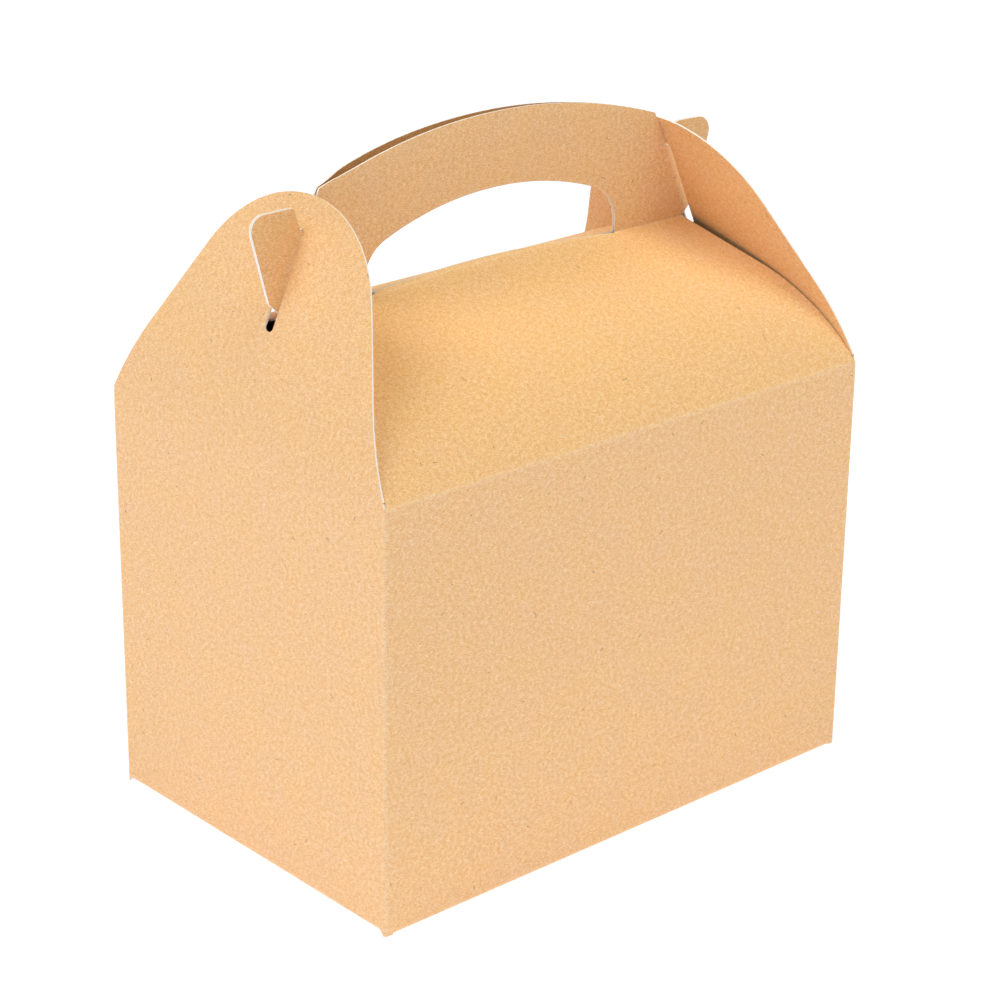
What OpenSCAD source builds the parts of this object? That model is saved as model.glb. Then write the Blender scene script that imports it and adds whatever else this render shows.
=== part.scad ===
// Kids meal box: a gable carton die cut and folded from one sheet of kraft board.
// Four walls run round as a sleeve, glued at one corner. The end walls lean in as
// rounded gables, the long walls fold over as a bulged roof, and the two handle
// boards stand up at the ridge and hook through a slot in each gable.
// Units are millimetres. The origin is at the centre of the bottom, X runs along
// the length, and the front wall faces -Y.

/* [Board] */
// Thickness of the kraft board
board_t = 0.45; // [0.3:0.05:0.6]
// Outer radius of a folded crease
crease_r = 0.9; // [0.7:0.1:1.5]
// Free space between leaves of board that lie on each other
leaf_gap = 0.05; // [0.02:0.01:0.1]

/* [Body] */
// Length of the box, over the end walls
body_l = 170; // [150:1:220]
// Depth of the box, over the front and rear walls
body_w = 114; // [96:1:140]
// Height of the walls, up to the eave crease
wall_h = 118; // [80:1:160]
// Width of the glue flap inside the right end wall
glue_flap_w = 15; // [10:1:20]
// How far the ends of the glue flap are bevelled
glue_flap_bevel = 6; // [3:1:9]
// Depth to which the glue flap is bonded into the end wall
glue_bite = 0.05; // [0.02:0.01:0.1]

/* [Gables] */
// Length of a gable from the wall top to its crown, along the board
gable_l = 66.2; // [60:0.2:72]
// Radius of the rounded crown
crown_r = 37.5; // [32:0.1:40]
// Angle at which the upper gable leans in
gable_lean = 24; // [20:0.5:26]
// Radius of the smooth bend from the wall into the gable
gable_bend_r = 66; // [60:1:85]
// Depth below the wall top at which that bend starts
gable_bend_drop = 5.8; // [3:0.1:8]

/* [Slots] */
// Width of the hook slot
slot_w = 3.2; // [2.6:0.1:4]
// Start of the slot, along the gable from the wall top
slot_from = 30; // [26:0.5:34]
// Free play of the hooks at the top of the slot
slot_play = 0.5; // [0.3:0.1:1]
// Bevel at the slot's corners
slot_bevel = 0.8; // [0.4:0.1:1.2]

/* [Roof] */
// Rise of the ridge crease above the eave crease
ridge_rise = 31; // [28:0.5:38]
// Slope of the roof panel where it leaves the eave
eave_slope = 52; // [46:1:56]
// Slope of the roof panel where it reaches the ridge
ridge_slope = 19; // [14:1:22]
// Gap between the roof panel and the end wall at the eave
eave_gap = 0.8; // [0.4:0.1:1.5]
// Gap between the roof panel and the gable at the ridge
ridge_gap = 2.8; // [2:0.1:6]

/* [Handle] */
// Rise of the handle boards above the ridge crease
handle_rise = 42; // [38:0.5:48]
// Radius of the arched top edge
arch_r = 187; // [150:1:250]
// Space between the two boards at the ridge crease
board_spread = 2.4; // [1:0.1:3]
// Space between the hooks of the two boards at the ridge crease
hook_spread = 0.1; // [0.1:0.1:0.4]
// Length over which each board bends towards the slot
pinch_l = 9; // [6:0.5:14]
// Gap between the end of the handle and the gable
end_gap = 0.4; // [0.3:0.1:1]
// How far the left pair of hooks lies off centre, towards the front
hook_lean = 0.3; // [0:0.05:0.3]

/* [Hand hole] */
// Width of the hand hole at its foot
hole_w = 91; // [70:1:96]
// Rise of the hand hole above the ridge crease
hole_rise = 21.4; // [16:0.2:24]
// Radius of the hole's arched top
hole_arch_r = 108; // [90:1:150]
// Radius of the hole's upper corners
hole_corner_r = 12; // [8:0.5:14]
// Space at the hole's foot between the lips of the two roof panels
lip_gap = 0.3; // [0.2:0.1:1]
// Length over which a lip slants back to the ridge crease at each end
lip_bevel = 6; // [3:0.5:12]

/* [Hooks] */
// Rise of the hook's neck above the ridge crease
neck_rise = 22.2; // [20:0.1:24]
// Reach of a hook outside the gable, at its neck
hook_reach = 16; // [10:0.2:18]
// Rise of the hook's head above its neck
head_rise = 6.5; // [4:0.1:8]
// Lean of the hook's inner edge away from the gable
head_back = 1.8; // [0.5:0.1:3]
// Radius of the hook's outer corner
head_r = 4; // [2:0.5:5]
// Length of the steep start of the hook's lower edge
toe_l = 6.5; // [4:0.1:9]
// Angle of that start above level
toe_angle = 49; // [46:0.5:60]

/* [Bottom] */
// Rise of the side flaps' creases above the bottom
side_crease_rise = 1.05; // [1.05:0.05:1.5]
// Cut-back of every bottom flap from the corners
flap_relief = 2.6; // [2:0.1:4]
// Length of a side flap
side_flap_l = 50; // [40:1:56]
// Taper of a side flap on each edge
side_flap_taper = 7; // [3:1:12]
// Overlap of the front flap and the rear flap
flap_overlap = 12; // [8:1:16]
// Taper of the front and rear flaps on each edge
long_flap_taper = 3; // [1:0.5:6]
// Width of the locking tongue
tongue_w = 48; // [36:1:60]
// Length of the locking tongue beyond the slit
tongue_l = 13; // [9:1:18]
// Free play of the tongue in its slit, at each side
slit_play = 0.6; // [0.4:0.1:1]
// Length of the slit that the tongue passes
slit_l = 4.2; // [4:0.1:6]
// Board left between the slit and the rear flap's step
slit_margin = 2.7; // [2:0.1:5]
// Radius of the corners of the bottom's flaps
flap_corner_r = 4; // [2:0.5:8]
// Radius of the corners of the tongue
tongue_corner_r = 6; // [3:0.5:8]
// Taper of the tongue on each edge
tongue_taper = 2; // [1:0.5:4]

/* [Hidden] */
$fn = 180;

half_l = body_l / 2;
half_w = body_w / 2;
// Radius of a crease along the middle of the board
mid_r = crease_r - board_t / 2;
// Reach of a cutting shape past what it cuts
past = 5;
// Depth by which the faces of a bend lie under those of the flat board that it runs on into
bend_bite = 0.002;
// Flat length beside a wide bend
bend_lead = 1;
// Steps in the arcs of a handle board's outline and in half a roof crease's bend
corner_steps = 6;
arch_steps = 12;
s_steps = 4;

// The gable's frame has its origin at the wall top, x out of the gable and z up along it.
gable_tangent = gable_bend_r * tan(gable_lean / 2);
gable_face = (gable_tangent - gable_bend_drop) * sin(gable_lean);
gable_back = gable_face - board_t;

// Distance from the middle of the box to a plane of the gable's frame, at height z
function gable_x(depth, z) =
    half_l + (depth - (z - wall_h) * sin(gable_lean)) / cos(gable_lean);

// The roof panel leaves the eave crease, bends over and runs on flat to the ridge.
board_half = board_spread / 2;
ridge_z = wall_h + ridge_rise;
eave_turn = 90 - eave_slope;
eave_setback = crease_r * tan(eave_turn / 2);
roof_turn = eave_slope - ridge_slope;
roof_lead = eave_setback + bend_lead;
roof_run = half_w - board_half - board_t - roof_lead * cos(eave_slope);
roof_climb = ridge_rise - roof_lead * sin(eave_slope);
roof_bend_r = (roof_climb - roof_run * tan(ridge_slope))
    / (cos(ridge_slope) - cos(eave_slope)
       - (sin(eave_slope) - sin(ridge_slope)) * tan(ridge_slope));
roof_flat_l = (roof_run - roof_bend_r * (sin(eave_slope) - sin(ridge_slope)))
    / cos(ridge_slope);

// The handle boards end at the gables, and their hooks run on through the slots.
ridge_corner_x = gable_x(gable_back, ridge_z) - ridge_gap;
pinch_end = gable_back - end_gap - board_t;
pinch_start = pinch_end - pinch_l;
handle_top = ridge_z + handle_rise;
handle_foot = ridge_z - board_t / cos(ridge_slope);
sheet_top = handle_top + past;
sheet_foot = handle_foot - past;
neck_z = ridge_z + neck_rise;
neck_in_x = gable_x(gable_back - end_gap, neck_z);
neck_out_x = gable_x(gable_face + end_gap, neck_z);
hook_tip_x = gable_x(gable_face, neck_z) + hook_reach;
slot_to = (neck_z - wall_h) / cos(gable_lean) - gable_face * tan(gable_lean) + slot_play;

// The bottom's leaves lie on each other in three layers.
layer = board_t + leaf_gap;
// Radius and slope of a step up or down from one layer to another
step_r = 1.5;
step_turn = 25;
front_reach = half_w + flap_overlap / 2;
slit_from = flap_overlap / 2 + leaf_gap;

// A step up or down by one or two layers: a bend, a flat stretch and the bend back.
function step_flat_l(rise) = (rise - 2 * step_r * (1 - cos(step_turn))) / sin(step_turn);
function step_run(rise) = 2 * step_r * sin(step_turn) + step_flat_l(rise) * cos(step_turn);
function rising_step(rise, way) =
    [[step_r, way * step_turn], [step_flat_l(rise), 0], [step_r, -way * step_turn]];

// Section of a bend of the board, from the origin along +X, turning by an angle.
module bend(radius, turn) {
    reach = 2 * (radius + board_t);
    more = acos(1 - bend_bite / 2 / radius);
    half_t = board_t / 2 - bend_bite;
    span = abs(turn) + more;
    mirror([0, turn < 0 ? 1 : 0])
        translate([0, radius])
            intersection() {
                difference() {
                    circle(r = radius + half_t);
                    circle(r = radius - half_t);
                }
                polygon([
                    [0, 0],
                    reach * [-sin(more), -cos(more)],
                    reach * [sin(span / 2), -cos(span / 2)],
                    reach * [sin(span), -cos(span)]
                ]);
            }
}

// Section of a run of board: a step is [length, 0] where it is flat, or [radius, turn].
module run(steps, i = 0) {
    if (i < len(steps)) {
        size = steps[i][0];
        turn = steps[i][1];
        if (turn == 0) {
            translate([0, -board_t / 2])
                square([size, board_t]);
            translate([size, 0])
                run(steps, i + 1);
        } else {
            bend(size, turn);
            translate(size * [sin(abs(turn)), sign(turn) * (1 - cos(turn))])
                rotate(turn)
                    run(steps, i + 1);
        }
    }
}

// Convex outline with rounded corners, one radius for each point.
module rounded(points, radii) {
    n = len(points);
    ways = [for (i = [0 : n - 1])
        [for (other = [points[(i + n - 1) % n], points[(i + 1) % n]])
            (other - points[i]) / norm(other - points[i])]];
    halves = [for (way = ways) acos(way[0] * way[1]) / 2];
    polygon([for (i = [0 : n - 1]) each
        (radii[i] == 0 ? [points[i]]
            : [for (way = ways[i]) points[i] + way * radii[i] / tan(halves[i])])]);
    for (i = [0 : n - 1])
        if (radii[i] > 0)
            translate(points[i] + (ways[i][0] + ways[i][1]) / norm(ways[i][0] + ways[i][1])
                      * radii[i] / sin(halves[i]))
                circle(r = radii[i]);
}

// Extrudes a section drawn in Y and Z along X.
module along_x(from, to) {
    translate([from, 0, 0])
        rotate([90, 0, 90])
            linear_extrude(to - from)
                children();
}

// Extrudes a section drawn in X and Z along Y.
module along_y(from, to) {
    translate([0, to, 0])
        rotate([90, 0, 0])
            linear_extrude(to - from)
                children();
}

// Places children in the frame of one gable: end is -1 on the left and 1 on the right.
module at_gable(end) {
    mirror([end < 0 ? 1 : 0, 0, 0])
        translate([half_l, 0, wall_h])
            rotate([0, -gable_lean, 0])
                children();
}

// Turns what is made for the front to the rear: side is -1 in front and 1 behind.
module on_side(side) {
    mirror([0, side > 0 ? 1 : 0, 0])
        children();
}

// The four walls as one run of board, from the glue flap round to the right end wall.
module sleeve() {
    flat_l = body_l - 2 * crease_r;
    flat_w = body_w - 2 * crease_r;
    inset = board_t - glue_bite;
    difference() {
        linear_extrude(wall_h) {
            translate([half_l - inset - board_t / 2, half_w - crease_r - glue_flap_w])
                rotate(90)
                    run([[glue_flap_w, 0], [mid_r, 90], [flat_l - inset, 0], [mid_r, 90],
                         [flat_w, 0], [mid_r, 90], [flat_l, 0], [mid_r, 90]]);
            translate([half_l - board_t, -half_w + crease_r])
                square([board_t, body_w - crease_r - board_t]);
        }
        for (side = [-1, 1])
            on_side(side)
                eave_and_foot_cut();
        for (end = [-1, 1])
            mirror([end < 0 ? 1 : 0, 0, 0])
                end_wall_cut();
        glue_flap_cut();
    }
}

// Space in the sleeve for the eave crease and for the long flap's crease.
module eave_and_foot_cut() {
    long_half = half_l - flap_relief;
    translate([-half_l + eave_gap, -half_w - past, wall_h - eave_setback])
        cube([body_l - 2 * eave_gap, past + crease_r, past]);
    translate([-long_half, -half_w - past, -past])
        cube([2 * long_half, past + crease_r, past + crease_r]);
}

// Space in an end wall for the smooth bend above and for the side flap's crease below,
// with the bevels that run down to the corners.
module end_wall_cut() {
    side_half = half_w - flap_relief;
    foot_z = side_crease_rise + crease_r;
    translate([half_l - board_t - leaf_gap, -half_w + crease_r, wall_h - gable_bend_drop])
        cube([past, body_w - crease_r - board_t + past, past + gable_bend_drop]);
    along_x(half_l - crease_r, half_l + past)
        polygon([
            [-half_w + crease_r, -past],
            [-half_w + crease_r, 0],
            [-side_half, foot_z],
            [side_half, foot_z],
            [half_w - crease_r, 0],
            [half_w - crease_r, -past]
        ]);
}

// Clears the glue flap above and below its bevelled ends.
module glue_flap_cut() {
    inner_x = half_l - board_t - leaf_gap - past;
    edge_y = half_w - crease_r - glue_flap_w;
    foot_z = side_crease_rise + 2 * crease_r;
    top_z = wall_h - gable_bend_drop;
    along_x(inner_x, half_l - board_t) {
        polygon([
            [edge_y - past, -past],
            [edge_y - past, foot_z + glue_flap_bevel],
            [edge_y, foot_z + glue_flap_bevel],
            [half_w - crease_r, foot_z],
            [half_w - crease_r, -past]
        ]);
        polygon([
            [edge_y - past, wall_h + past],
            [edge_y - past, top_z - glue_flap_bevel],
            [edge_y, top_z - glue_flap_bevel],
            [half_w - crease_r, top_z],
            [half_w - crease_r, wall_h + past]
        ]);
    }
}

// Outline of a gable in its own plane: straight sides, tangent to a round crown.
module gable_outline() {
    crown_y = gable_l - crown_r;
    reach = norm([half_w, crown_y]);
    touch = atan2(-crown_y, half_w) + acos(crown_r / reach);
    side_x = crown_r * cos(touch);
    side_y = crown_y + crown_r * sin(touch);
    translate([0, crown_y])
        circle(r = crown_r);
    polygon([
        [-half_w, -2 * gable_bend_drop],
        [half_w, -2 * gable_bend_drop],
        [half_w, 0],
        [side_x, side_y],
        [-side_x, side_y],
        [-half_w, 0]
    ]);
}

// Slot for the two hooks, with bevelled corners.
module slot_outline() {
    half = slot_w / 2;
    polygon([
        [-half, slot_from + slot_bevel],
        [-half + slot_bevel, slot_from],
        [half - slot_bevel, slot_from],
        [half, slot_from + slot_bevel],
        [half, slot_to - slot_bevel],
        [half - slot_bevel, slot_to],
        [-half + slot_bevel, slot_to],
        [-half, slot_to - slot_bevel]
    ]);
}

// Top of an end wall: it bends in smoothly and runs up as the gable.
module gable(end) {
    rear_y = end < 0 ? half_w - crease_r : half_w - board_t;
    bend_mid_r = gable_bend_r - board_t / 2;
    difference() {
        intersection() {
            mirror([end < 0 ? 1 : 0, 0, 0])
                along_y(-half_w + crease_r, rear_y)
                    translate([half_l - board_t / 2, wall_h - gable_bend_drop])
                        rotate(90)
                            run([[bend_mid_r, gable_lean], [gable_l, 0]]);
            at_gable(end)
                along_x(-gable_bend_r, past)
                    gable_outline();
        }
        at_gable(end)
            along_x(gable_back - past, gable_face + past)
                slot_outline();
    }
}

// Height of the hook's middle line off the box's middle plane, for a board at one end
function hook_y(side, end) = side * (hook_spread + board_t) / 2 - (end < 0 ? hook_lean : 0);

// Share of the sideways move of an S bend after a share of its length
function s_share(f) = f < 0.5 ? 2 * f * f : 1 - 2 * (1 - f) * (1 - f);

// Point of a roof panel's edge below the S bend of its handle board, after a share of its length
function pinch_point(side, end, share) =
    let (
        mid_y = board_half + board_t / 2,
        bend_x = gable_x(pinch_start, ridge_z),
        x = bend_x + share * (ridge_corner_x - bend_x),
        f = (x - bend_x) * cos(gable_lean) / pinch_l
    )
    [end * x, -mid_y + (mid_y - side * hook_y(side, end)) * s_share(f)];

// Outline of a roof panel seen from above, up to the middle of its handle board. At the
// hand hole it runs on as a lip that nearly meets the lip of the other panel.
module roof_plan(side) {
    mid_y = board_half + board_t / 2;
    lip_half = hole_w / 2 - lip_gap;
    polygon([
        [-half_l + eave_gap, -half_w - past],
        [half_l - eave_gap, -half_w - past],
        [half_l - eave_gap, -half_w + crease_r],
        [ridge_corner_x, -board_half - board_t],
        for (i = [s_steps : -1 : 0])
            pinch_point(side, 1, i / s_steps),
        [lip_half, -mid_y],
        [lip_half - lip_bevel, -lip_gap / 2],
        [lip_bevel - lip_half, -lip_gap / 2],
        [-lip_half, -mid_y],
        for (i = [0 : s_steps])
            pinch_point(side, -1, i / s_steps),
        [-ridge_corner_x, -board_half - board_t],
        [-half_l + eave_gap, -half_w + crease_r]
    ]);
}

// A roof panel, from the eave crease over its bulge to the ridge crease.
module roof_panel(side) {
    on_side(side)
        intersection() {
            along_x(-half_l, half_l)
                translate([-half_w + board_t / 2, wall_h - eave_setback])
                    rotate(90)
                        run([[mid_r, -eave_turn], [bend_lead, 0],
                             [roof_bend_r - board_t / 2, -roof_turn],
                             [roof_flat_l + board_half + mid_r, 0]]);
            translate([0, 0, wall_h - past])
                linear_extrude(2 * ridge_rise)
                    roof_plan(side);
        }
}

// Points of an arc about a centre, from one angle to another
function arc(centre, radius, from, to, steps) =
    [for (i = [0 : steps])
        let (a = from + (to - from) * i / steps)
        centre + radius * [cos(a), sin(a)]];

// Right half of a handle board's outline, from the foot of the middle round to its top.
function half_outline() =
    let (
        lift = board_half * tan(ridge_slope),
        toe = [ridge_corner_x, ridge_z] + toe_l * [cos(toe_angle), sin(toe_angle)],
        head_z = neck_z + head_rise,
        head_in_r = head_r / 3,
        side_angle = atan2(head_z - toe[1], hook_tip_x - toe[0]) - 90,
        end_angle = 180 - atan2(head_back, head_rise),
        arch_c = [0, handle_top - arch_r],
        end_x = gable_x(gable_back - end_gap, neck_z + head_rise + head_r),
        arch_from = acos(end_x / arch_r)
    )
    concat(
        [
            [0, handle_foot],
            [gable_x(pinch_start, ridge_z), handle_foot],
            [ridge_corner_x, handle_foot + lift],
            [ridge_corner_x, ridge_z + lift],
            toe
        ],
        arc([hook_tip_x - head_r, head_z - head_r], head_r, side_angle, 90,
            corner_steps),
        arc([neck_out_x + head_back + head_in_r, head_z - head_in_r], head_in_r, 90,
            end_angle, corner_steps / 2),
        [[neck_out_x, neck_z], [neck_in_x, neck_z]],
        arc(arch_c, arch_r, arch_from, 90, arch_steps)
    );

// Hand hole: a flat foot on the ridge crease and an arched top with round corners.
module hole_outline() {
    top_z = ridge_z + hole_rise;
    centre_z = top_z - hole_arch_r;
    corner_x = hole_w / 2 - hole_corner_r;
    corner_z = centre_z + sqrt(pow(hole_arch_r - hole_corner_r, 2) - corner_x * corner_x);
    aim = hole_arch_r / (hole_arch_r - hole_corner_r);
    translate([-hole_w / 2, handle_foot - past])
        square([hole_w, corner_z - handle_foot + past]);
    for (end = [-1, 1])
        translate([end * corner_x, corner_z])
            circle(r = hole_corner_r);
    intersection() {
        translate([0, centre_z])
            circle(r = hole_arch_r);
        polygon([
            [-corner_x, corner_z - hole_corner_r],
            [corner_x, corner_z - hole_corner_r],
            [corner_x, corner_z],
            [corner_x * aim, centre_z + (corner_z - centre_z) * aim],
            [0, top_z + hole_corner_r],
            [-corner_x * aim, centre_z + (corner_z - centre_z) * aim],
            [-corner_x, corner_z]
        ]);
    }
}

// Whole outline of a handle board, with a hook at each end.
module handle_outline() {
    right = half_outline();
    n = len(right);
    difference() {
        polygon(concat(right, [for (i = [n - 2 : -1 : 1]) [-right[i][0], right[i][1]]]));
        hole_outline();
    }
}

// Sheet of a handle board before it is cut: flat along the middle, and bent in an S
// at both ends, in line with the leaning gables, so that it passes the slots.
module handle_sheet(side) {
    mid_y = side * (board_half + board_t / 2);
    along_y(mid_y - board_t / 2, mid_y + board_t / 2)
        polygon([
            [-gable_x(pinch_start, sheet_top), sheet_top],
            [-gable_x(pinch_start, sheet_foot), sheet_foot],
            [gable_x(pinch_start, sheet_foot), sheet_foot],
            [gable_x(pinch_start, sheet_top), sheet_top]
        ]);
    for (end = [-1, 1]) {
        shift = hook_y(side, end) - mid_y;
        turn = 2 * atan(abs(shift) / (pinch_l + bend_lead));
        bend_r = (pinch_l - bend_lead * cos(turn)) / 2 / sin(turn);
        way = sign(shift);
        at_gable(end)
            linear_extrude(gable_l + handle_rise)
                translate([pinch_start - bend_lead, mid_y])
                    run([[bend_lead, 0], [bend_r, way * turn], [bend_lead, 0],
                         [bend_r, -way * turn], [2 * hook_reach, 0]]);
    }
}

// A handle board with its hand hole and a hook at each end.
module handle_board(side) {
    intersection() {
        along_y(-past, past)
            handle_outline();
        handle_sheet(side);
    }
}

// Section of a long bottom flap as far as its flat reach, and on through more steps.
module long_flap_section(reach, steps) {
    translate([-half_w + board_t / 2, crease_r])
        rotate(-90)
            run(concat([[mid_r, 90], [reach - crease_r, 0]], steps));
}

// Front flap of the bottom, whose tongue passes up through the rear flap's slit.
module front_flap() {
    wide = half_l - flap_relief;
    narrow = wide - long_flap_taper;
    tongue_rise = 2 * layer;
    tongue_end = slit_from + step_run(tongue_rise) + tongue_l;
    intersection() {
        along_x(-half_l, half_l)
            long_flap_section(front_reach, []);
        translate([0, 0, -past])
            linear_extrude(2 * past)
                rounded([[-wide, -half_w], [wide, -half_w],
                         [narrow, flap_overlap / 2], [-narrow, flap_overlap / 2]],
                        [0, 0, flap_corner_r, flap_corner_r]);
    }
    intersection() {
        along_x(-tongue_w / 2, tongue_w / 2)
            long_flap_section(half_w + slit_from,
                              concat(rising_step(tongue_rise, 1), [[tongue_l, 0]]));
        translate([0, 0, -past])
            linear_extrude(2 * past)
                rounded([[-tongue_w / 2, 0], [tongue_w / 2, 0],
                         [tongue_w / 2 - tongue_taper, tongue_end],
                         [-tongue_w / 2 + tongue_taper, tongue_end]],
                        [0, 0, tongue_corner_r, tongue_corner_r]);
    }
}

// Rear flap of the bottom: it rises over the front flap and holds the slit.
module rear_flap() {
    wide = half_l - flap_relief;
    narrow = wide - long_flap_taper;
    low_end = slit_from + slit_l + slit_margin + step_run(layer);
    difference() {
        intersection() {
            along_x(-half_l, half_l)
                mirror([1, 0])
                    long_flap_section(half_w - low_end,
                                      concat(rising_step(layer, 1),
                                             [[low_end - step_run(layer) + flap_overlap / 2, 0]]));
            translate([0, 0, -past])
                linear_extrude(2 * past)
                    rounded([[-narrow, -flap_overlap / 2], [narrow, -flap_overlap / 2],
                             [wide, half_w], [-wide, half_w]],
                            [flap_corner_r, flap_corner_r, 0, 0]);
        }
        translate([-tongue_w / 2 - slit_play, slit_from - leaf_gap, -past])
            cube([tongue_w + 2 * slit_play, slit_l, 2 * past]);
    }
}

// Side flap of the bottom, above the two long flaps.
module side_flap() {
    wide = half_w - flap_relief;
    narrow = wide - side_flap_taper;
    inner_x = half_l - side_flap_l;
    intersection() {
        along_y(-half_w, half_w)
            translate([half_l - board_t / 2, side_crease_rise + crease_r])
                rotate(-90)
                    run([[mid_r, -90], [side_flap_l - crease_r, 0]]);
        linear_extrude(2 * past)
            rounded([[inner_x, -narrow], [half_l, -wide], [half_l, wide], [inner_x, narrow]],
                    [flap_corner_r, 0, 0, flap_corner_r]);
    }
}

// The whole folded carton, one sheet of board from the tongue to the hooks.
module carton() {
    color("#dcae74")
        union() {
            sleeve();
            for (end = [-1, 1])
                gable(end);
            for (side = [-1, 1]) {
                roof_panel(side);
                handle_board(side);
            }
            front_flap();
            rear_flap();
            for (end = [-1, 1])
                mirror([end < 0 ? 1 : 0, 0, 0])
                    side_flap();
        }
}

carton();
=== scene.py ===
"""Looks of a kids meal box: one sheet of kraft board, folded in code from its flat blank.

The blank is laid out in millimetres. U runs round the walls, clockwise seen from above, and v runs
up the walls, so that v is the height on a wall and keeps its length over every fold. Each panel of
the blank is an outline filled with triangles, and each point is placed by following the folds.
"""

import math

import bpy
import numpy as np
from mathutils import Matrix, Vector
from mathutils.geometry import delaunay_2d_cdt
from mathutils.kdtree import KDTree


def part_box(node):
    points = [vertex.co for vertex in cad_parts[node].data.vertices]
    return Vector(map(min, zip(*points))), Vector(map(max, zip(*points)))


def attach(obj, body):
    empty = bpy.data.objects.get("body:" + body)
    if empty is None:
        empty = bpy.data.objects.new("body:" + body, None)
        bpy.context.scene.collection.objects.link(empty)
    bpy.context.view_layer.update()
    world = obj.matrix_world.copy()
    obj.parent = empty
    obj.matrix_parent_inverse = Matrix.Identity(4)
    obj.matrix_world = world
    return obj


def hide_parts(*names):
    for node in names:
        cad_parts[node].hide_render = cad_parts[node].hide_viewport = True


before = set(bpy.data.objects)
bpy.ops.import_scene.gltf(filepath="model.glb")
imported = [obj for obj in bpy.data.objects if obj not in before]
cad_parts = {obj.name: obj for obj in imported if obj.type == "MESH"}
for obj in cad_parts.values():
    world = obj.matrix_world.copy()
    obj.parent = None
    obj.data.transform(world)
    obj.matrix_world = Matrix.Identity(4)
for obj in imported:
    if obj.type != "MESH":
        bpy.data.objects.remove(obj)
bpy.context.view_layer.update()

MM = 0.001

# A cut edge of the board bulges out by this much in its middle.
EDGE_SWELL = 0.03

# The outside of the carton comes from the frame, in millimetres.
low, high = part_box("carton")
HALF_W = (high.y - low.y) / 2 / MM
WALL_H = 118.0
RIDGE_Z = WALL_H + 31.0
HANDLE_RISE = high.z / MM - RIDGE_Z - EDGE_SWELL

# Board
BOARD = 0.45
CREASE = 0.9
MID = CREASE - BOARD / 2

# Gables
LEAN = math.radians(24)
GABLE_R = 66.0
GABLE_DROP = 5.8
GABLE_L = 66.2
CROWN_R = 37.5

# Slots
SLOT_W = 3.2
SLOT_FROM = 30.0
SLOT_BEVEL = 0.8
SLOT_PLAY = 0.5

# Roof
EAVE_SLOPE = math.radians(52)
RIDGE_SLOPE = math.radians(19)
EAVE_GAP = 0.8
RIDGE_GAP = 2.8
ROOF_LEAD = 1.0
RIDGE_FOLD_R = 0.4
ROOF_FADE = 26.0

# Handle and hand hole
ARCH_R = 187.0
BOARD_SPREAD = 2.4
HOOK_SPREAD = 0.1
HOOK_LEAN = 0.3
PINCH_L = 9.0
END_GAP = 0.4
HOLE_W = 91.0
HOLE_RISE = 21.4
HOLE_ARCH_R = 108.0
HOLE_CORNER_R = 12.0
LIP_GAP = 0.3
LIP_BEVEL = 6.0

# Play of the board in this copy. The roof lifts beside the hand hole. The handle bows back, closes up
# to the right, opens a little on the left and sags by a hair at the far hook.
LIP_LIFT = 1.5
LIFT_FADE = 32.0
BOW = 2.0
BOW_HALF = 62.0
CLOSE_FROM = -10.0
CLOSE_TO = 44.0
CLOSED_SPREAD = 0.15
REAR_BULGE = 1.0
REAR_BULGE_X = -38.0
REAR_BULGE_HALF = 36.0
SAG = 0.3
SAG_FROM = 30.0
SAG_L = 40.0
SAG_MOST = 1.4
# Height over the ridge within which the play grows, and the one within which the pinch lifts the ridge
PLAY_RISE = 20.0
PINCH_RISE = 12.0

# Hooks
NECK_RISE = 22.2
HOOK_REACH = 16.0
HEAD_RISE = 6.5
HEAD_BACK = 1.8
HEAD_R = 4.0
TOE_L = 6.5
TOE_ANGLE = math.radians(49)

# Bottom and seam
CORNER_FOOT = EDGE_SWELL
SIDE_FOOT = 1.95
FLAP_RELIEF = 2.6
SIDE_FLAP_L = 50.0
SIDE_FLAP_TAPER = 7.0
LONG_FLAP_TAPER = 3.0
FLAP_OVERLAP = 12.0
FLAP_CORNER_R = 4.0
TONGUE_W = 48.0
TONGUE_L = 13.0
TONGUE_TAPER = 2.0
TONGUE_CORNER_R = 6.0
SLIT_L = 4.2
SLIT_PLAY = 0.6
SLIT_MARGIN = 2.7
LEAF_GAP = 0.05
STEP_R = 1.5
STEP_TURN = math.radians(25)
GLUE_FLAP_W = 15.0
GLUE_BEVEL = 6.0
GLUE_GAP = 0.02

HALF_L = 85.0
FRONT_FLAT = HALF_L - CREASE
END_FLAT = HALF_W - CREASE
FREE_END = HALF_W - BOARD
LONG_FOOT = HALF_L - FLAP_RELIEF
SIDE_FOOT_W = HALF_W - FLAP_RELIEF
CORNER_L = MID * math.pi / 2

# Spacing of the mesh lines
COARSE = 3.0
FINE = 1.2


def left(way):
    """Unit vectors to the left of headings."""
    return np.stack([-np.sin(way), np.cos(way)], -1)


def run(point, way, steps, at):
    """Points at distances along a run of board: a step is (length, 0) flat or (radius, turn)."""
    at = np.asarray(at, float)
    point = np.array(point, float)
    places = np.zeros((len(at), 2))
    ways = np.full(len(at), way)
    start = 0.0
    for size, turn in [*steps, (math.inf, 0)]:
        length = abs(turn) * size if turn else size
        here = (at >= start) | (start == 0)
        d = at[here] - start
        side = math.copysign(1, turn)
        angle = way + (side * d / size if turn else 0 * d)
        if turn:
            centre = point + size * side * left(way)
            places[here] = centre - size * side * left(angle)
        else:
            places[here] = point + d[:, None] * np.array([math.cos(way), math.sin(way)])
        ways[here] = angle
        if length == math.inf:
            break
        if turn:
            point = centre - size * side * left(way + turn)
            way += turn
        else:
            point = point + length * np.array([math.cos(way), math.sin(way)])
        start += length
    return places, ways


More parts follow.
